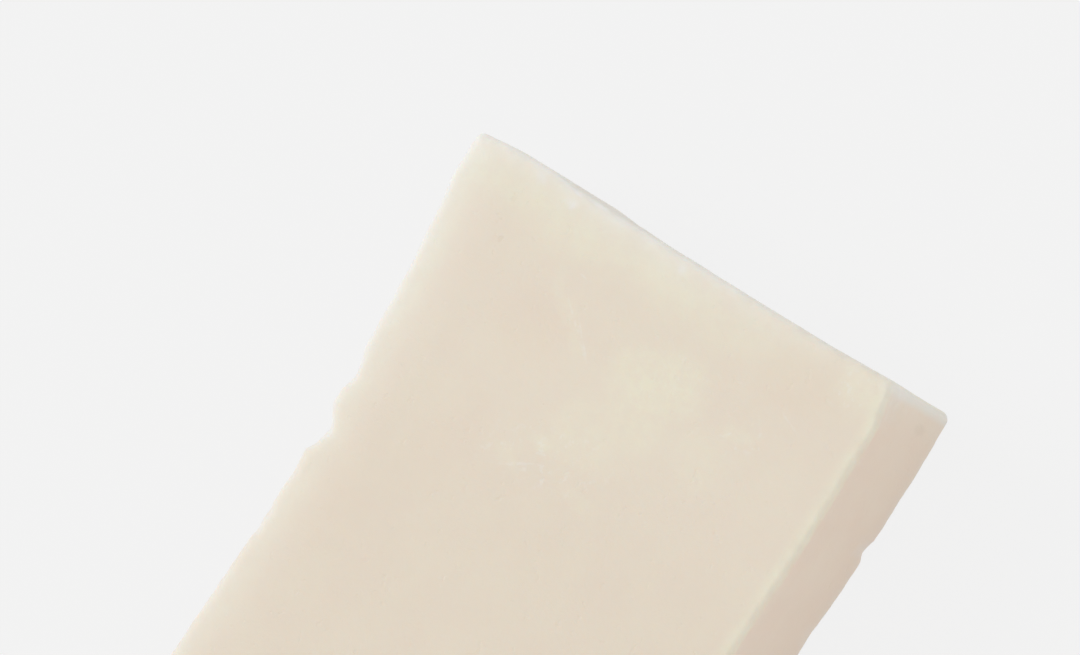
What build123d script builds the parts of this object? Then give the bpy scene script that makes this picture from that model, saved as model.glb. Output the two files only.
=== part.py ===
from build123d import *
import os

# A bar of hand-cut soap: one solid block that lies on its large face.
# +X runs along the bar, +Y across it and +Z up. The origin is under the middle
# of the bar's box, on the surface that the bar lies on. All sizes are in mm.

os.makedirs("parts", exist_ok=True)

# The block that the cut faces stay inside
length = 90.0
width = 63.5
thickness = 25.0

# How far each cut face lies inside the block: at its corners, and at the
# places along it (x for the two sides, y for the end) where it bends
left_near_inset = 0.0
left_far_inset = 0.05
left_bends = [(22.0, 1.45), (-3.0, 2.0), (-29.0, 0.25)]
right_near_inset = 0.2
right_far_inset = 1.85
right_bends = [(33.0, 0.0), (0.0, 1.35)]
end_left_inset = 0.6
end_right_inset = 0.65
end_bends = [(22.0, 0.0), (6.0, 0.5), (-14.0, 0.95)]

# The rounding of the edges
top_rim = 1.6
bottom_rim = 1.4
worn_corner = 1.6
sharp_corner = 0.8  # the upright edge between the +X end and the +Y side

# A flake broken out of the upper rim of the +Y side
chip_x = 4.2  # its deepest point
chip_inset = 3.3  # how far that point lies inside the block
chip_lead = 7.0  # how far the break opens towards +X, at the block's face
chip_trail = 6.0  # and towards -X
chip_height = 6.0
chip_slope = 2.0  # how far the break leans outward over that height

# A small dent in the lower rim of the -Y side
dent_x = 24.6
dent_inset = 1.0
dent_lead = 1.8
dent_trail = 3.2
dent_height = 8.0
dent_slope = 0.9

mouth_margin = 1.0  # how far a cutting wedge reaches outside the block
half_length = length / 2
half_width = width / 2
left_near = (half_length - end_left_inset, half_width - left_near_inset)
left_far = (-half_length, half_width - left_far_inset)
right_near = (half_length - end_right_inset, right_near_inset - half_width)
right_far = (-half_length, right_far_inset - half_width)


def wedge(x, inset, lead, trail, side):
    """The corners of a three-cornered notch in the +Y side (1) or the -Y side (-1)."""
    mouth = side * (half_width + mouth_margin)
    spread = (inset + mouth_margin) / inset
    return (x, side * (half_width - inset)), (x + lead * spread, mouth), (x - trail * spread, mouth)


with BuildPart() as soap_bar:
    # The plan, with one smooth curve for each face but the straight -X end
    with BuildSketch(Plane.XY):
        with BuildLine():
            Spline(left_near, *[(x, half_width - inset) for x, inset in left_bends], left_far)
            Line(left_far, right_far)
            Spline(right_near, *[(x, inset - half_width) for x, inset in right_bends], right_far)
            Spline(left_near, *[(half_length - inset, y) for y, inset in end_bends], right_near)
        make_face()
    extrude(amount=thickness)

    # The upright edges first, so that each rim runs round them in one sweep
    uprights = soap_bar.edges().filter_by(Axis.Z)
    fillet(uprights.sort_by_distance(left_near)[1:], radius=worn_corner)
    uprights = soap_bar.edges().filter_by(Axis.Z)
    fillet(uprights.sort_by_distance(left_near)[0], radius=sharp_corner)
    fillet(soap_bar.faces().sort_by(Axis.Z)[-1].edges(), radius=top_rim)
    fillet(soap_bar.faces().sort_by(Axis.Z)[0].edges(), radius=bottom_rim)

    # The flake, a wedge that leans outward as it goes down
    with BuildSketch(Plane.XY.offset(thickness)):
        Polygon(*wedge(chip_x, chip_inset, chip_lead, chip_trail, 1), align=None)
    with BuildSketch(Plane.XY.offset(thickness - chip_height)):
        Polygon(*wedge(chip_x, chip_inset - chip_slope, chip_lead, chip_trail, 1), align=None)
    loft(mode=Mode.SUBTRACT)

    # The dent, a wedge that leans outward as it goes up
    with BuildSketch(Plane.XY):
        Polygon(*wedge(dent_x, dent_inset, dent_lead, dent_trail, -1), align=None)
    with BuildSketch(Plane.XY.offset(dent_height)):
        Polygon(*wedge(dent_x, dent_inset - dent_slope, dent_lead, dent_trail, -1), align=None)
    loft(mode=Mode.SUBTRACT)

soap_bar.part.label = "soap_bar"
export_step(soap_bar.part, "parts/soap_bar.step")
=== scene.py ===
import math
import bpy
import bmesh
import numpy as np
from mathutils import Matrix, Vector, noise
from mathutils.bvhtree import BVHTree


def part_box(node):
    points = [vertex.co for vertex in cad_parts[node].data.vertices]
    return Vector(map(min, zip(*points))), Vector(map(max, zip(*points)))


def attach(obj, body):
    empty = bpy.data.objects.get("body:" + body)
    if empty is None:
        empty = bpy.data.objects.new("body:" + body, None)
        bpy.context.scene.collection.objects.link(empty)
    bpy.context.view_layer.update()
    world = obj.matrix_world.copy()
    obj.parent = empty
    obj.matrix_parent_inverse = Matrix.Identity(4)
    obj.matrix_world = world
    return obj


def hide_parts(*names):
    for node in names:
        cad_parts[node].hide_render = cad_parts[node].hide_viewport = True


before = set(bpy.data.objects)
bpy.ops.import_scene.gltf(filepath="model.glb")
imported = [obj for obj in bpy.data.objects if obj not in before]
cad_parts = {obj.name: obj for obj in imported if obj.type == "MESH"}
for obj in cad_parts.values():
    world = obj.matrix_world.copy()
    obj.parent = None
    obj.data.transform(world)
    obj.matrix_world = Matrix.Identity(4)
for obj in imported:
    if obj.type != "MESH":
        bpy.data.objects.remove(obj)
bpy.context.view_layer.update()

mm = 0.001
hair = 1e-6  # too little to count

# one cut bar of soap, every place in mm from the middle of its underside
soapBar = {
    "node": "soap_bar",
    "cuts": {"x": (19, 10), "y": (17, 8), "z": (8, 7)},  # each length is cut twice over
    "crowding": 0.5,  # how far the cuts are drawn towards the edges, 0 to 1
    "cornerRound": {"left end": 1.1, "right end": 1.1, "left far": 2.0, "right far": 2.2},
    "rimTop": {"left": 1.35, "right": 0.85, "end": 1.0, "far": 1.3},
    "rimUnder": {"left": 1.3, "right": 1.5, "end": 1.2, "far": 1.3},
    "endLean": 0.05,  # the +X end stands this much further out at its foot
    "rightLean": 0.3,  # and the -Y side this much further out at its top, away from that end
    "leanFrom": (33.0, 13.0),
    "edgeFall": {"left": (0.6, 9.0), "right": (0.1, 4.0), "end": (0.15, 5.0), "far": (0.3, 8.0)},
    "wobble": 0.12,  # waviness left by the cutting wire
    "wobbleSize": 16.0,
    "rimWear": 0.2,  # depth of the small flakes along the rims
    "rimWearSize": 1.5,
    "rimWearReach": 1.6,  # from the rim onto both of its faces
    "rimWearContrast": 2.2,
    "restKept": 4.0,  # the waves fade out below this height, so that the foot stays true
}

# how far each cut face swells past the plain outline, at places along it (x, or y for the end)
swell = {
    "left": [
        (-26, 0.05), (-20, 0.13), (-13, 0.2), (-5, 0.45), (0, 0.55), (7, 0.5),
        (17, 0.45), (25, 0.27), (31, 0.42), (35, 0.55), (38.5, 0.95), (42, 0.6),
    ],
    "right": [(-30, 0.0), (0, -0.1), (13, -0.24), (19, -0.13), (30, -0.13), (37, 0.0)],
    "end": [
        (-30, -0.16), (-22, -0.12), (-14, -0.03), (-4, -0.03), (5, -0.14),
        (12, -0.3), (16, -0.26), (21, 0.05), (26, 0.16),
    ],
    "far": [(-20, 0.0), (-6, -0.25), (9, 0.0), (20, -0.2)],
}

# how the rims pale towards the edges of their faces, partly dried soap and partly painted highlight and
# glow where a rim catches the light: strength and reach in mm
dryingAndPaintedLight = {
    "white": {"left": (1.0, 2.1), "right": (0.2, 0.8), "end": (0.85, 1.8), "far": (0.6, 1.6)},
    "pale": {"left": (0.42, 3.8), "right": (0.42, 1.6), "end": (0.4, 6.2), "far": (0.35, 5.0)},
    "paleHeld": 1.5,  # above 1 the pale band stays whole for a little way from the edge
    "foot": (0.6, 1.5),  # and the whitening up from the foot of the upright faces, painted floor-bounce light with some dried paleness
    "downSides": 0.6,  # down and along the upright faces the pale reach is this much shorter
    "leftThins": (-5.0, 22.0),  # between these x the left rim goes from lightly to fully pale, dried soap and painted highlight
    "leftThin": 0.6,
    "endThins": (-26.0, -2.0),  # and between these y the end rim
    "endThin": 0.3,
}

# flakes broken out of a rim: place along the side, depth, how far they open each way, how tall and how pale
flakes = [
    {
        "side": "left", "rim": "top", "at": 3.3, "depth": 1.65,
        "opens": (3.3, 3.0), "tall": 8.0, "pale": 0.5,
    },
    {
        "side": "left", "rim": "top", "at": 10.9, "depth": 0.95,
        "opens": (2.1, 3.6), "tall": 5.0, "pale": 0.4,
    },
    {
        "side": "left", "rim": "top", "at": -11.6, "depth": 0.35,
        "opens": (1.2, 1.8), "tall": 3.0, "pale": 0.3,
    },
    {
        "side": "left", "rim": "top", "at": -9.0, "depth": 0.4,
        "opens": (1.0, 1.0), "tall": 2.5, "pale": 0.3,
    },
    {
        "side": "left", "rim": "top", "at": -3.6, "depth": 0.35,
        "opens": (1.2, 1.6), "tall": 2.5, "pale": 0.3,
    },
    {
        "side": "right", "rim": "top", "at": 43.4, "depth": 0.9,
        "opens": (5.0, 4.0), "tall": 6.0, "pale": 0.2,
    },
    {
        "side": "right", "rim": "under", "at": 24.4, "depth": 0.5,
        "opens": (1.2, 1.9), "tall": 6.0, "pale": 0.2,
    },
    {
        "side": "right", "rim": "under", "at": 12.4, "depth": 0.14,
        "opens": (2.4, 1.6), "tall": 5.0, "pale": 0.1,
    },
]
flakeShape = {
    "room": 7.0,  # over this far into the bar the faces beside a flake give way to it
    "rimBand": 0.9,  # the pale break keeps to this band along the rim
    "rounding": 0.8,  # below 1 the deepest point is blunt
    "raggedness": 700,  # turns of noise in a metre
    "sway": 0.25,
    "uneven": 0.15,
    "fraying": 0.12,
    "held": 1.15,  # above 1 a flake keeps its whole depth for a little way from the rim
    "paleHeld": 1.4,  # and its pale break stays whole for a little way too
}

# where the rims are knocked: place, radius of the scoop, depth, the way it faces and how pale it broke
knocks = [
    {"at": (-4.0, 29.9, 25.0), "radius": 1.6, "depth": 0.35, "faces": (0.1, 1.0, 0.6), "pale": 0.4},
    {"at": (-9.0, 29.9, 25.0), "radius": 1.8, "depth": 0.45, "faces": (0.1, 1.0, 0.6), "pale": 0.4},
    {"at": (-12.0, 30.0, 25.0), "radius": 2.0, "depth": 0.55, "faces": (-0.1, 1.0, 0.6), "pale": 0.4},
    {"at": (19.3, 30.3, 25.0), "radius": 1.6, "depth": 0.4, "faces": (0.0, 1.0, 0.6), "pale": 0.3},
    {"at": (23.6, 30.4, 25.0), "radius": 1.4, "depth": 0.3, "faces": (0.2, 1.0, 0.6), "pale": 0.3},
    {"at": (44.9, 25.4, 25.0), "radius": 4.5, "depth": 0.3, "faces": (1.0, 0.1, 0.5), "pale": 0.1},
    {"at": (44.7, 20.8, 25.0), "radius": 1.3, "depth": 0.25, "faces": (1.0, 0.2, 1.2), "pale": 0.9},
    {"at": (44.2, 15.8, 25.0), "radius": 1.7, "depth": 0.25, "faces": (1.0, 0.0, 1.2), "pale": 0.9},
    {"at": (43.8, -1.6, 25.0), "radius": 1.4, "depth": 0.25, "faces": (1.0, 0.0, 1.2), "pale": 0.9},
    {"at": (43.7, -12.0, 25.0), "radius": 1.1, "depth": 0.2, "faces": (1.0, 0.0, 1.0), "pale": 0.6},
]
knockShape = {"raggedness": 900, "uneven": 0.12, "searched": 1.3}


def only(piece):
    bpy.ops.object.select_all(action="DESELECT")
    piece.select_set(True)
    bpy.context.view_layer.objects.active = piece


def startBlock():
    lo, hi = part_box(soapBar["node"])
    bpy.ops.object.select_all(action="DESELECT")
    bpy.ops.mesh.primitive_cube_add(size=1, location=(lo + hi) / 2)
    block = bpy.context.object
    block.name = "soapBlock"
    block.scale = hi - lo
    bpy.ops.object.transform_apply(location=True, rotation=True, scale=True)
    return block


def cutBlock(block):
    only(block)
    bpy.ops.object.mode_set(mode="EDIT")
    bpy.ops.mesh.select_mode(type="EDGE")
    for axis, steps in enumerate(soapBar["cuts"].values()):
        for step in steps:
            bpy.ops.mesh.select_all(action="DESELECT")
            shape = bmesh.from_edit_mesh(block.data)
            for edge in shape.edges:
                run = edge.verts[1].co - edge.verts[0].co
                edge.select = abs(run[axis]) > 0.9 * run.length
            bmesh.update_edit_mesh(block.data)
            bpy.ops.mesh.subdivide(number_cuts=step - 1)
    bpy.ops.object.mode_set(mode="OBJECT")


# how much of the bar's length and width is felt, and at how many places
feeler = {"alongShare": 0.93, "alongPlaces": 80, "acrossShare": 0.9, "acrossPlaces": 60}


def findOutline():
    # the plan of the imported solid, felt for from the middle at half its height
    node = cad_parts[soapBar["node"]]
    corners = [vertex.co for vertex in node.data.vertices]
    tree = BVHTree.FromPolygons(corners, [face.vertices for face in node.data.polygons])
    lo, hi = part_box(soapBar["node"])
    level = (lo.z + hi.z) / 2
    xs = np.linspace(lo.x * feeler["alongShare"], hi.x * feeler["alongShare"], feeler["alongPlaces"])
    ys = np.linspace(lo.y * feeler["acrossShare"], hi.y * feeler["acrossShare"], feeler["acrossPlaces"])

    def reach(start, way, axis):
        return tree.ray_cast(Vector(start), Vector(way))[0][axis]

    def proud(side, along):
        points = np.array(swell[side]) * mm
        return sum(easeBump(along, points, i) for i in range(len(points)))

    return {
        "xs": xs,
        "ys": ys,
        "left": np.array([reach((x, 0, level), (0, 1, 0), 1) for x in xs]) + proud("left", xs),
        "right": np.array([reach((x, 0, level), (0, -1, 0), 1) for x in xs]) - proud("right", xs),
        "end": np.array([reach((0, y, level), (1, 0, 0), 0) for y in ys]) + proud("end", ys),
        "far": np.array([reach((0, y, level), (-1, 0, 0), 0) for y in ys]) - proud("far", ys),
    }


def easeBump(along, points, i):
    # one point's share of a smooth line through all of them, level at each point
    here, height = points[i]
    share = np.ones(len(along))
    if i > 0:
        before = points[i - 1][0]
        share = np.where(along < here, np.clip((along - before) / (here - before), 0, 1), share)
    if i + 1 < len(points):
        after = points[i + 1][0]
        share = np.where(along >= here, np.clip((after - along) / (after - here), 0, 1), share)
    return height * (1 - np.cos(math.pi * share)) / 2


def extend(at, places, values):
    # straight on past the last place on either side
    inside = np.interp(at, places, values)
    first = (values[1] - values[0]) / (places[1] - places[0])
    last = (values[-1] - values[-2]) / (places[-1] - places[-2])
    inside = np.where(at < places[0], values[0] + first * (at - places[0]), inside)
    return np.where(at > places[-1], values[-1] + last * (at - places[-1]), inside)


def crowd(share):
    # draws evenly spaced cuts towards both ends
    pull = soapBar["crowding"]
    return (1 - pull) * share + pull * np.sin(share * math.pi / 2)


def roundCorner(a, b, radius):
    # rings round a square corner become arcs; a and b are the depths under its two faces
    ring = np.minimum(a, b)
    room = np.maximum(radius - ring, hair * mm)
    turn = np.clip((radius - np.maximum(a, b)) / room, 0, 1) * math.pi / 4
    near = radius - room * np.cos(turn)
    aside = radius - room * np.sin(turn)
    inZone = (a < radius) & (b < radius)
    newA = np.where(a <= b, near, aside)
    newB = np.where(a <= b, aside, near)
    tilt = np.where(a <= b, turn, math.pi / 2 - turn)
    return np.where(inZone, newA, a), np.where(inZone, newB, b), inZone, tilt


def shapeBlock(block):
    outline = findOutline()
    lo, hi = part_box(soapBar["node"])
    half = (hi - lo) / 2
    count = len(block.data.vertices)
    place = np.empty(count * 3)
    block.data.vertices.foreach_get("co", place)
    place = place.reshape(-1, 3)
    share = (place - np.array((lo + hi) / 2)) / np.array(half)
    share = crowd(share)
    u, v, w = share.T
    height = hi.z - lo.z

    # depth under each upright face, then the corners of the plan
    roughY = v * half.y
    endHere = extend(roughY, outline["ys"], outline["end"])
    lengthHere = endHere - extend(roughY, outline["ys"], outline["far"])
    fromEnd = (1 - u) / 2 * lengthHere
    roughX = endHere - fromEnd
    leftHere = extend(roughX, outline["xs"], outline["left"])
    widthHere = leftHere - extend(roughX, outline["xs"], outline["right"])
    fromLeft = (1 - v) / 2 * widthHere
    nearEnd = u > 0
    onLeft = v > 0
    a = np.where(nearEnd, fromEnd, lengthHere - fromEnd)
    b = np.where(onLeft, fromLeft, widthHere - fromLeft)
    depth = np.minimum(a, b)
    fromEdgeA, fromEdgeB = a, b
    outX = np.where(a <= b, 1.0, 0.0)
    outY = 1 - outX
    for name, there in (
        ("left end", nearEnd & onLeft),
        ("right end", nearEnd & ~onLeft),
        ("left far", ~nearEnd & onLeft),
        ("right far", ~nearEnd & ~onLeft),
    ):
        newA, newB, inZone, tilt = roundCorner(a, b, soapBar["cornerRound"][name] * mm)
        use = there & inZone
        outX = np.where(use, np.cos(tilt), outX)
        outY = np.where(use, np.sin(tilt), outY)
        a = np.where(there, newA, a)
        b = np.where(there, newB, b)

    # the rims: flat and upright strips share the quarter turn between them
    top = w > 0
    under = np.where(top, (1 - w) / 2, (1 + w) / 2) * height
    endward = outX**2

    def rim(which):
        sizes = soapBar[which]
        alongEnd = np.where(nearEnd, sizes["end"], sizes["far"])
        alongSide = np.where(onLeft, sizes["left"], sizes["right"])
        return (endward * alongEnd + (1 - endward) * alongSide) * mm

    radius = np.where(top, rim("rimTop"), rim("rimUnder"))
    flat = depth < radius
    upright = under < radius
    onFace = np.abs(w) > 1 - hair
    onSide = depth < hair
    turn = np.zeros(count)
    turn = np.where(onFace & flat, math.pi / 4 * (1 - depth / radius), turn)
    turn = np.where(onSide & upright & ~onFace, math.pi / 4 * (1 + under / radius), turn)
    bend = (onFace & flat) | (onSide & upright)
    inward = np.where(bend, radius * (1 - np.sin(turn)) - depth, 0)
    sunk = np.where(bend, radius * (1 - np.cos(turn)), under)
    a = a + inward * outX
    b = b + inward * outY

    y = np.where(onLeft, 1, -1) * half.y
    x = np.where(nearEnd, 1, -1) * half.x
    for again in range(3):  # each depends a little on the other
        nearEnds = extend(y, outline["ys"], outline["end"])
        farEnds = extend(y, outline["ys"], outline["far"])
        x = np.where(nearEnd, nearEnds - a, farEnds + a)
        leftSides = extend(x, outline["xs"], outline["left"])
        rightSides = extend(x, outline["xs"], outline["right"])
        y = np.where(onLeft, leftSides - b, rightSides + b)
    z = np.where(top, hi.z - sunk, lo.z + sunk)
    fall = soapBar["edgeFall"]
    for names, choose, gap in ((("left", "right"), onLeft, b), (("end", "far"), nearEnd, a)):
        deep = np.where(choose, fall[names[0]][0], fall[names[1]][0]) * mm
        reach = np.where(choose, fall[names[0]][1], fall[names[1]][1]) * mm
        z = z - deep * np.clip(1 - gap / reach, 0, 1) ** 2 * np.clip(w, 0, 1)
    lean = soapBar["endLean"] * mm * np.clip(u, 0, 1) ** 4
    x = x - lean * (z - lo.z) / height

    leanStart, leanFull = soapBar["leanFrom"]
    awayFromEnd = np.clip((leanStart * mm - x) / ((leanStart - leanFull) * mm), 0, 1)
    y = y - soapBar["rightLean"] * mm * awayFromEnd * np.clip(-v, 0, 1) ** 4 * np.clip(w, 0, 1)

    place = np.stack([x, y, z], axis=1)
    block.data.vertices.foreach_set("co", place.ravel())
    block.data.update()
    return {
        "onFace": onFace,
        "low": ~top & ~onFace,
        "nearEnd": nearEnd,
        "onLeft": onLeft,
        "longSide": onSide & (fromEdgeB < fromEdgeA),
        "endGap": fromEdgeA,
        "sideGap": fromEdgeB,
        "under": under,
        "fromRim": np.where(onFace, depth, under),
    }


def flakeRims(place, gaps):
    # each flake draws its side inwards, most at the rim and less along it, down it and into the bar
    fresh = np.zeros(len(place))
    height = place[:, 2].max()
    ragged = np.array([noise.noise(Vector(spot) * flakeShape["raggedness"]) for spot in place])
    for flake in flakes:
        onSide = gaps["onLeft"] == (flake["side"] == "left")
        run = place[:, 0] / mm - flake["at"] + flakeShape["sway"] * ragged
        back, forward = flake["opens"]
        share = np.clip(1 - np.where(run < 0, -run / back, run / forward), 0, 1)
        fromRim = height - place[:, 2] if flake["rim"] == "top" else place[:, 2]
        fading = fromRim / (flake["tall"] * mm) - flakeShape["fraying"] * ragged
        upDown = np.clip(flakeShape["held"] - fading, 0, 1)
        inside = np.clip(1 - gaps["sideGap"] / (flakeShape["room"] * mm), 0, 1)
        amount = np.where(onSide, share ** flakeShape["rounding"] * upDown, 0)
        draw = flake["depth"] * mm * amount * inside * (1 + flakeShape["uneven"] * ragged)
        place[:, 1] -= np.where(gaps["onLeft"], draw, -draw)
        onRim = np.clip(flakeShape["paleHeld"] - gaps["sideGap"] / (flakeShape["rimBand"] * mm), 0, 1)
        fresh = np.maximum(fresh, flake["pale"] * np.clip(amount * 2, 0, 1) * onRim)
    return fresh


def knockRims(block, gaps):
    verts = block.data.vertices
    place = np.empty(len(verts) * 3)
    verts.foreach_get("co", place)
    place = place.reshape(-1, 3)
    fresh = flakeRims(place, gaps)
    for number, knock in enumerate(knocks):
        faces = Vector(knock["faces"]).normalized()
        radius = knock["radius"] * mm
        centre = Vector(knock["at"]) * mm + faces * (radius - knock["depth"] * mm)
        away = place - np.array(centre)
        far = np.linalg.norm(away, axis=1)
        for i in np.nonzero(far < radius * knockShape["searched"])[0]:
            grain = noise.noise(Vector(place[i]) * knockShape["raggedness"] + Vector((number, 0, 0)))
            reach = radius * (1 + knockShape["uneven"] * grain)
            if far[i] < reach:
                place[i] += away[i] / far[i] * (reach - far[i])
                fresh[i] = knock["pale"]
    verts.foreach_set("co", place.ravel())
    block.data.update()
    return fresh


def waveTexture(name, size, contrast=1.0):
    cloud = bpy.data.textures.new(name, "CLOUDS")
    cloud.noise_scale = size * mm
    cloud.noise_depth = 2
    cloud.contrast = contrast
    return cloud


def wearFaces(block, gaps):
    # two displacements, applied: slow waves all over and small flakes along the rims
    only(block)
    floorWeight = block.vertex_groups.new(name="upperFaces")
    rimWeight = block.vertex_groups.new(name="rims")
    for vertex, gap in zip(block.data.vertices, gaps["fromRim"]):
        lifted = min(1.0, max(0.0, vertex.co.z / (soapBar["restKept"] * mm)))
        floorWeight.add([vertex.index], lifted, "REPLACE")
        rimWeight.add([vertex.index], max(0.0, 1 - gap / (soapBar["rimWearReach"] * mm)), "REPLACE")
    slow = waveTexture("wireWaves", soapBar["wobbleSize"])
    fine = waveTexture("rimFlakes", soapBar["rimWearSize"], soapBar["rimWearContrast"])
    for name, group, texture, depth in (
        ("waves", "upperFaces", slow, soapBar["wobble"]),
        ("flakes", "rims", fine, soapBar["rimWear"]),
    ):
        push = block.modifiers.new(name, "DISPLACE")
        push.texture = texture
        push.texture_coords = "LOCAL"
        push.vertex_group = group
        push.strength = depth * mm
        push.mid_level = 1.0
        bpy.ops.object.modifier_apply(modifier=push.name)


def paintWearAndLight(block, gaps, fresh):
    # how pale each spot is, dried soap together with painted highlight, glow and bounce light, worked out
    # from its distance to the edges of its own face
    place = np.empty(len(block.data.vertices) * 3)
    block.data.vertices.foreach_get("co", place)
    place = place.reshape(-1, 3) / mm

    def thinning(axis, name):
        low, high = dryingAndPaintedLight[name + "Thins"]
        share = np.clip((place[:, axis] - low) / (high - low), 0, 1)
        return dryingAndPaintedLight[name + "Thin"] + (1 - dryingAndPaintedLight[name + "Thin"]) * share

    thin = {"left": thinning(0, "left"), "end": thinning(1, "end")}
    shorten = np.where(gaps["onFace"], 1.0, dryingAndPaintedLight["downSides"])

    def fadeTo(kind, names, choose, gap):
        first, second = (dryingAndPaintedLight[kind][name] for name in names)
        strength = np.where(choose, first[0] * thin[names[0]], second[0])
        reach = np.where(choose, first[1], second[1]) * mm
        if kind == "white":
            return strength * np.exp(-gap / reach)
        share = np.clip(dryingAndPaintedLight["paleHeld"] - gap / (reach * shorten), 0, 1)
        return strength * share * share * (3 - 2 * share)

    for kind in ("white", "pale"):
        downSide = fadeTo(kind, ("left", "right"), gaps["onLeft"], gaps["under"])
        downEnd = fadeTo(kind, ("end", "far"), gaps["nearEnd"], gaps["under"])
        toSide = fadeTo(kind, ("left", "right"), gaps["onLeft"], gaps["sideGap"])
        toEnd = fadeTo(kind, ("end", "far"), gaps["nearEnd"], gaps["endGap"])
        first = np.where(gaps["onFace"] | ~gaps["longSide"], toSide, downSide)
        second = np.where(gaps["onFace"] | gaps["longSide"], toEnd, downEnd)
        amount = 1 - (1 - first) * (1 - second)
        if kind == "white":
            # the foot band is painted floor-bounce light, with some dried paleness
            strength, reach = dryingAndPaintedLight["foot"]
            foot = strength * np.exp(-gaps["under"] / (reach * mm)) * gaps["low"]
            amount = 1 - (1 - amount) * (1 - foot)
        layer = block.data.attributes.new(kind, "FLOAT", "POINT")
        layer.data.foreach_set("value", amount.astype(np.float32))
    # the slope, from which the material paints the upright faces in shade
    upright = block.data.attributes.new("upright", "FLOAT", "POINT")
    slope = [1 - abs(vertex.normal.z) for vertex in block.data.vertices]
    upright.data.foreach_set("value", np.array(slope, dtype=np.float32))
    broken = block.data.attributes.new("broken", "FLOAT", "POINT")
    broken.data.foreach_set("value", fresh.astype(np.float32))


# the soap itself: colours are linear, lengths in mm
soapFinish = {
    "body": (0.748, 0.664, 0.554),
    "deep": (0.734, 0.646, 0.534),
    "paintedShadeFrom": (24.0, 2.0),  # between these x the body turns to the deeper tone, painted shade that darkens the face away from the +X end
    # bloom colour, also laid on the rims as painted highlight
    "bloom": (0.800, 0.785, 0.618),
    "flush": (0.735, 0.625, 0.515),
    # chalk white, also laid on the rims as painted highlight and glow, and at the foot as painted bounce
    # light
    "white": (0.815, 0.803, 0.778),
    # the upright faces: a darker, warmer copy of the body, painted shade
    "side": (0.747, 0.610, 0.491),
    # the end: greyer and darker, painted shade for the end rim, with some dried grey
    "endSide": (0.725, 0.680, 0.610),
    "speck": (0.56, 0.45, 0.33),
    "roughness": (0.42, 0.62),
    "stirSoft": (5.0, 5.0),  # size of the noise that stirs the soft marks, and how far it pushes
    "stirFine": (0.9, 0.5),  # and the same for the small ones
    "uprightFrom": (0.05, 0.65),  # between these slopes a rim turns from face to the painted-shade side colour
    "endSideFrom": (42.2, 43.3),  # and between these x the sides turn to the end's painted-shade grey
    "driftSize": 7.0,
    "cloudSize": 1.6,
    "grainSize": 0.9,
    "unevenSize": 3.2,
    "pitSize": 1.1,
    "pitDepth": 0.13,
    "brokenPale": 0.7,
    "scrapedPale": 0.6,
    "bumpGrain": 0.5,
    "bumpHeight": 0.02,
    "bodyGlow": {"weight": 0.3, "depth": 2.0},  # how much light the paste lets in, and how deep
}

# pale and dark marks: place, reach each way, turn in degrees and strength
paleMarks = [
    {"at": (29.0, -6.0, 25.0), "reach": (6.5, 8.5, 4.0), "turn": 20, "amount": 0.5},
    {"at": (30.5, -3.5, 25.0), "reach": (2.6, 6.0, 3.0), "turn": 15, "amount": 0.4},
    {"at": (26.8, -7.0, 25.0), "reach": (3.0, 2.4, 3.0), "turn": 30, "amount": 0.4},
    {"at": (20.5, -2.0, 25.0), "reach": (6.5, 9.0, 4.0), "turn": 40, "amount": 0.3},
    {"at": (25.0, -5.5, 25.0), "reach": (6.0, 7.0, 4.0), "turn": 20, "amount": 0.34},
    {"at": (24.0, -15.0, 25.0), "reach": (5.5, 7.0, 4.0), "turn": -20, "amount": 0.18},
    {"at": (31.2, 8.6, 25.0), "reach": (9.0, 1.6, 3.0), "turn": 49, "amount": 0.18},
    {"at": (38.5, 14.0, 25.0), "reach": (4.0, 8.0, 4.0), "turn": 0, "amount": 0.14},
    {"at": (17.0, 3.0, 25.0), "reach": (1.8, 2.4, 2.0), "turn": 10, "amount": 0.38},
    {"at": (12.6, 6.2, 25.0), "reach": (1.2, 4.0, 2.0), "turn": -20, "amount": 0.2},
    {"at": (29.2, -18.0, 25.0), "reach": (1.6, 3.4, 2.0), "turn": 35, "amount": 0.34},
    {"at": (12.6, -4.5, 25.0), "reach": (1.6, 4.6, 2.0), "turn": -15, "amount": 0.18},
    {"at": (41.2, -28.0, 25.0), "reach": (3.0, 4.5, 4.0), "turn": 20, "amount": 0.32},
]
scratches = [
    {"at": (30.0, 6.6, 25.0), "reach": (6.2, 0.28, 1.0), "turn": 49, "amount": 0.42},
    {"at": (29.2, 5.2, 25.0), "reach": (3.2, 0.22, 1.0), "turn": 44, "amount": 0.5},
    {"at": (35.8, 9.2, 25.0), "reach": (1.4, 0.2, 1.0), "turn": 80, "amount": 0.5},
    {"at": (33.6, -22.6, 25.0), "reach": (2.4, 0.2, 1.0), "turn": 66, "amount": 0.35},
    {"at": (12.5, 4.4, 25.0), "reach": (3.0, 0.3, 1.0), "turn": -60, "amount": 0.5},
]
rimFlecks = [
    {"at": (43.9, 20.9, 25.0), "reach": (1.3, 1.6, 2.0), "turn": 20, "amount": 0.4},
    {"at": (43.0, 15.9, 25.0), "reach": (1.3, 1.5, 2.0), "turn": 30, "amount": 0.7},
    {"at": (43.0, -1.6, 25.0), "reach": (1.1, 1.3, 2.0), "turn": 0, "amount": 0.45},
    {"at": (42.8, -31.4, 22.5), "reach": (3.2, 3.0, 6.5), "turn": 0, "amount": 0.4},
]
flushZones = [
    {"at": (38.6, -21.5, 25.0), "reach": (6.0, 8.0, 4.0), "turn": 0, "amount": 0.6},
    {"at": (27.5, 11.8, 25.0), "reach": (6.5, 8.0, 4.0), "turn": 30, "amount": 0.42},
    {"at": (10.0, 14.0, 25.0), "reach": (9.0, 6.0, 4.0), "turn": -20, "amount": 0.3},
    {"at": (-4.0, 22.0, 25.0), "reach": (8.0, 5.0, 4.0), "turn": 0, "amount": 0.3},
]
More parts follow.
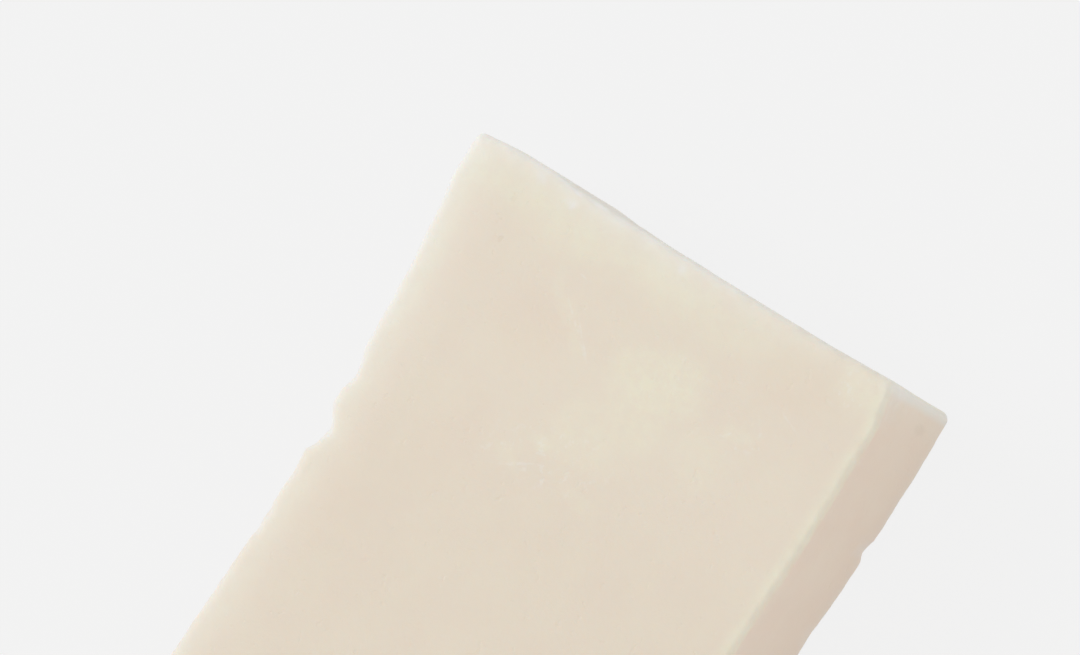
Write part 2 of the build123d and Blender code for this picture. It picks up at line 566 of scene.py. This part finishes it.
speckZones = [
    {"at": (15.0, 2.0, 25.0), "reach": (6.0, 13.0, 4.0), "turn": 15, "amount": 0.8},
    {"at": (29.5, -18.5, 25.0), "reach": (3.5, 5.0, 4.0), "turn": 30, "amount": 0.8},
    {"at": (40.5, -27.0, 25.0), "reach": (3.0, 3.0, 4.0), "turn": 0, "amount": 1.0},
    {"at": (31.0, -7.0, 25.0), "reach": (6.0, 9.0, 4.0), "turn": 20, "amount": 0.35},
]
pitZones = [
    {"at": (36.0, 21.5, 25.0), "reach": (6.5, 5.0, 4.0), "turn": 20, "amount": 1.0},
    {"at": (27.8, 21.7, 25.0), "reach": (2.5, 2.5, 4.0), "turn": 0, "amount": 0.8},
]
stain = {"at": (40.7, -31.6, 9.5), "reach": (0.95, 1.2, 3.4), "turn": 0, "amount": 0.17}


def addNode(tree, kind, inputs=None, **settings):
    node = tree.nodes.new(kind)
    for name, value in settings.items():
        setattr(node, name, value)
    for name, value in (inputs or {}).items():
        if isinstance(value, bpy.types.NodeSocket):
            tree.links.new(value, node.inputs[name])
        else:
            node.inputs[name].default_value = value
    return node


def mixColour(tree, factor, first, second):
    mix = tree.nodes.new("ShaderNodeMix")
    mix.data_type = "RGBA"
    for number, value in ((0, factor), (6, first), (7, second)):
        if isinstance(value, bpy.types.NodeSocket):
            tree.links.new(value, mix.inputs[number])
        else:
            mix.inputs[number].default_value = value if number == 0 else (*value, 1)
    return mix.outputs[2]


def ramp(tree, value, low, high, start=0.0, stop=1.0):
    limits = {"Value": value, "From Min": low, "From Max": high, "To Min": start, "To Max": stop}
    return addNode(tree, "ShaderNodeMapRange", limits, interpolation_type="SMOOTHSTEP").outputs["Result"]


def calculate(tree, operation, first, second):
    return addNode(tree, "ShaderNodeMath", {0: first, 1: second}, operation=operation).outputs[0]


def cloudsAt(tree, place, size, detail=2, roughness=0.5):
    settings = {"Vector": place, "Scale": 1 / (size * mm), "Detail": detail, "Roughness": roughness}
    return addNode(tree, "ShaderNodeTexNoise", settings).outputs["Fac"]


def stirred(tree, place, size, amount):
    # the place, pushed about by noise, so that marks get ragged outlines
    settings = {"Vector": place, "Scale": 1 / (size * mm), "Detail": 4, "Roughness": 0.6}
    stir = addNode(tree, "ShaderNodeTexNoise", settings)

    def vectors(operation, inputs):
        return addNode(tree, "ShaderNodeVectorMath", inputs, operation=operation).outputs[0]

    push = vectors("SUBTRACT", {0: stir.outputs["Color"], 1: (0.5, 0.5, 0.5)})
    push = vectors("SCALE", {0: push, "Scale": amount * mm})
    return vectors("ADD", {0: place, 1: push})


def markMask(tree, place, marks, edge=0.3):
    # soft ellipses, the strongest one winning wherever they overlap
    mask = None
    for mark in marks:
        inputs = {
            "Vector": place,
            "Location": [c * mm for c in mark["at"]],
            "Rotation": (0, 0, math.radians(mark["turn"])),
            "Scale": [c * mm for c in mark["reach"]],
        }
        inside = addNode(tree, "ShaderNodeMapping", inputs, vector_type="TEXTURE").outputs[0]
        gap = addNode(tree, "ShaderNodeVectorMath", {0: inside}, operation="LENGTH").outputs["Value"]
        spot = ramp(tree, gap, 1.0, edge, 0.0, mark["amount"])
        mask = spot if mask is None else calculate(tree, "MAXIMUM", mask, spot)
    return mask


def soapMaterial():
    material = bpy.data.materials.new("curedSoap")
    material.use_nodes = True
    tree = material.node_tree
    shader = tree.nodes["Principled BSDF"]
    place = tree.nodes.new("ShaderNodeTexCoord").outputs["Object"]

    def painted(name):
        return addNode(tree, "ShaderNodeAttribute", attribute_name=name).outputs["Fac"]

    def times(first, second):
        return calculate(tree, "MULTIPLY", first, second)

    ragged = stirred(tree, place, *soapFinish["stirSoft"])
    rough = stirred(tree, place, *soapFinish["stirFine"])
    along = addNode(tree, "ShaderNodeSeparateXYZ", {0: ragged}).outputs

    # the paste under everything, darker away from the +X end as painted shade, then the upright faces in
    # their painted-shade colours
    deepLow, deepHigh = soapFinish["paintedShadeFrom"]
    deep = ramp(tree, along["X"], deepLow * mm, deepHigh * mm)
    colour = mixColour(tree, deep, soapFinish["body"], soapFinish["deep"])
    sideLow, sideHigh = soapFinish["endSideFrom"]
    straight = addNode(tree, "ShaderNodeSeparateXYZ", {0: place}).outputs
    endward = ramp(tree, straight["X"], sideLow * mm, sideHigh * mm)
    side = mixColour(tree, endward, soapFinish["side"], soapFinish["endSide"])
    colour = mixColour(tree, ramp(tree, painted("upright"), *soapFinish["uprightFrom"]), colour, side)
    colour = mixColour(tree, markMask(tree, ragged, flushZones), colour, soapFinish["flush"])
    drift = ramp(tree, cloudsAt(tree, place, soapFinish["driftSize"], 3), 0.3, 0.7, 0.0, 0.1)
    colour = mixColour(tree, drift, colour, soapFinish["bloom"])

    # the dusty bloom, its scattered specks and the light scratches
    cloudy = ramp(tree, cloudsAt(tree, place, soapFinish["cloudSize"], 6, 0.7), 0.36, 0.62, 0.45, 1.0)
    bloom = times(markMask(tree, ragged, paleMarks), cloudy)
    grains = ramp(tree, cloudsAt(tree, place, soapFinish["grainSize"], 3, 0.6), 0.55, 0.72)
    specks = times(markMask(tree, ragged, speckZones), times(grains, 0.6))
    lines = times(markMask(tree, rough, scratches), ramp(tree, cloudsAt(tree, place, 1.2), 0.3, 0.6))
    colour = mixColour(tree, bloom, colour, soapFinish["bloom"])
    scraped = calculate(tree, "MAXIMUM", specks, lines)
    colour = mixColour(tree, times(scraped, soapFinish["scrapedPale"]), colour, soapFinish["white"])
    bloom = calculate(tree, "MAXIMUM", bloom, scraped)

    # what has dried along the edges, with painted highlight and glow where the rims catch the light, and
    # what broke out of them
    uneven = cloudsAt(tree, place, soapFinish["unevenSize"], 5, 0.65)
    paleDustAndHighlight = times(painted("pale"), ramp(tree, uneven, 0.3, 0.7, 0.6, 1.3))
    colour = mixColour(tree, paleDustAndHighlight, colour, soapFinish["bloom"])
    chalkAndHighlight = times(painted("white"), ramp(tree, uneven, 0.3, 0.7, 0.75, 1.1))
    colour = mixColour(tree, chalkAndHighlight, colour, soapFinish["white"])
    torn = times(painted("broken"), soapFinish["brokenPale"])
    lightest = calculate(tree, "MAXIMUM", torn, markMask(tree, ragged, rimFlecks, 0.0))
    colour = mixColour(tree, lightest, colour, soapFinish["white"])

    # fine dark pits and the one brown stain
    pits = ramp(tree, cloudsAt(tree, place, soapFinish["pitSize"], 2), 0.64, 0.74)
    pitted = times(pits, times(markMask(tree, ragged, pitZones), soapFinish["pitDepth"]))
    colour = mixColour(tree, pitted, colour, soapFinish["speck"])
    colour = mixColour(tree, markMask(tree, rough, [stain]), colour, soapFinish["speck"])
    tree.links.new(colour, shader.inputs["Base Color"])

    # a waxy skin, duller where it has bloomed
    low, high = soapFinish["roughness"]
    skin = calculate(tree, "MAXIMUM", bloom, painted("pale"))
    skin = calculate(tree, "ADD", skin, times(uneven, 0.5))
    tree.links.new(ramp(tree, skin, 0.0, 1.0, low, high), shader.inputs["Roughness"])
    grain = cloudsAt(tree, place, soapFinish["bumpGrain"], 2, 0.6)
    dragged = addNode(tree, "ShaderNodeMapping", {"Vector": place, "Scale": (0.06, 1, 1)}).outputs[0]
    drag = times(cloudsAt(tree, dragged, 0.8, 1), 0.5)
    height = calculate(tree, "SUBTRACT", calculate(tree, "ADD", grain, drag), pits)
    relief = {"Height": height, "Strength": 1.0, "Distance": soapFinish["bumpHeight"] * mm}
    bump = addNode(tree, "ShaderNodeBump", relief)
    tree.links.new(bump.outputs[0], shader.inputs["Normal"])
    shader.inputs["IOR"].default_value = 1.46
    shader.inputs["Subsurface Weight"].default_value = soapFinish["bodyGlow"]["weight"]
    shader.inputs["Subsurface Radius"].default_value = (1.0, 0.7, 0.5)
    shader.inputs["Subsurface Scale"].default_value = soapFinish["bodyGlow"]["depth"] * mm
    return material


def makeSoap():
    block = startBlock()
    cutBlock(block)
    gaps = shapeBlock(block)
    fresh = knockRims(block, gaps)
    wearFaces(block, gaps)
    paintWearAndLight(block, gaps, fresh)
    only(block)
    bpy.ops.object.shade_smooth()
    block.data.materials.append(soapMaterial())
    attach(block, "root")
    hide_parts(soapBar["node"])
    print("soap bar:", len(block.data.polygons), "faces")
    return block


studio = {
    "floorSize": 8.0,  # in metres
    "paper": 0.885,  # how pale the floor and the backdrop look
    "floorGlow": 0.12,  # light of its own that the floor throws back on the bar
    "shadowShare": 0.06,  # how much of the real floor shading is kept
    "skyLight": 0.8,
    "keyLight": 0.93,
    "keyFrom": (-8.0, 60.0, 55.0),
    "keySpread": 30.0,
    "fillLight": 0.1,
    "fillFrom": (-20.0, -60.0, 14.0),
    "fillSpread": 60.0,
}


def seenDirectly(tree, whole=1.0):
    # one for camera, glossy and transmission rays, which see the plain backdrop
    path = tree.nodes.new("ShaderNodeLightPath")
    seen = calculate(tree, "MAXIMUM", path.outputs["Is Camera Ray"], path.outputs["Is Glossy Ray"])
    seen = calculate(tree, "MAXIMUM", seen, path.outputs["Is Transmission Ray"])
    return calculate(tree, "MULTIPLY", seen, whole)


def addSun(name, energy, origin, spread):
    bpy.ops.object.light_add(type="SUN")
    sun = bpy.context.object
    sun.name = name
    sun.data.energy = energy
    sun.data.angle = math.radians(spread)
    sun.rotation_euler = Vector(origin).to_track_quat("Z", "Y").to_euler()


def makeStudio():
    bpy.ops.object.select_all(action="DESELECT")
    bpy.ops.mesh.primitive_plane_add(size=studio["floorSize"])
    floor = bpy.context.object
    floor.name = "paperFloor"
    paper = (studio["paper"],) * 3 + (1,)
    material = bpy.data.materials.new("palePaper")
    material.use_nodes = True
    tree = material.node_tree
    tree.nodes.clear()
    matte = addNode(tree, "ShaderNodeBsdfDiffuse", {"Color": paper})
    faint = addNode(tree, "ShaderNodeEmission", {"Color": paper, "Strength": studio["floorGlow"]})
    real = addNode(tree, "ShaderNodeAddShader", {0: matte.outputs[0], 1: faint.outputs[0]})
    glow = addNode(tree, "ShaderNodeEmission", {"Color": paper, "Strength": 1.0})
    seen = seenDirectly(tree, 1 - studio["shadowShare"])
    blend = addNode(tree, "ShaderNodeMixShader", {0: seen, 1: real.outputs[0], 2: glow.outputs[0]})
    addNode(tree, "ShaderNodeOutputMaterial", {"Surface": blend.outputs[0]})
    floor.data.materials.append(material)

    world = bpy.data.worlds.new("studioSky")
    bpy.context.scene.world = world
    world.use_nodes = True
    tree = world.node_tree
    tree.nodes.clear()
    sky = addNode(tree, "ShaderNodeBackground", {"Color": (1, 1, 1, 1), "Strength": studio["skyLight"]})
    backdrop = addNode(tree, "ShaderNodeBackground", {"Color": paper, "Strength": 1.0})
    shaders = {0: seenDirectly(tree), 1: sky.outputs[0], 2: backdrop.outputs[0]}
    blend = addNode(tree, "ShaderNodeMixShader", shaders)
    addNode(tree, "ShaderNodeOutputWorld", {"Surface": blend.outputs[0]})

    addSun("softKey", studio["keyLight"], studio["keyFrom"], studio["keySpread"])
    addSun("softFill", studio["fillLight"], studio["fillFrom"], studio["fillSpread"])


cameraView = {
    "lens": 105.0,
    "distance": 378.3,
    "aim": (27.85, 10.83, 25.0),
    "tilt": 23.4,  # leans over towards the -Y side
    "lean": 2.0,  # and towards the +X end
    "roll": -59.04,
}


def makeCamera():
    tilt, lean, roll = (math.radians(cameraView[name]) for name in ("tilt", "lean", "roll"))
    back = Vector((math.sin(lean), -math.sin(tilt) * math.cos(lean), math.cos(tilt) * math.cos(lean)))
    level = Vector((1, 0, 0))
    level = (level - back * level.dot(back)).normalized()
    upright = back.cross(level)
    right = math.cos(roll) * level + math.sin(roll) * upright
    above = math.cos(roll) * upright - math.sin(roll) * level
    bpy.ops.object.camera_add()
    camera = bpy.context.object
    turn = Matrix((right, above, back)).transposed().to_4x4()
    stand = Vector(cameraView["aim"]) * mm + back * cameraView["distance"] * mm
    camera.matrix_world = Matrix.Translation(stand) @ turn
    camera.data.lens = cameraView["lens"]
    camera.data.clip_start = 0.01
    bpy.context.scene.camera = camera


makeCamera()
print("camera placed")
makeSoap()
makeStudio()
print("studio lit")
bpy.context.scene.view_settings.view_transform = "Standard"
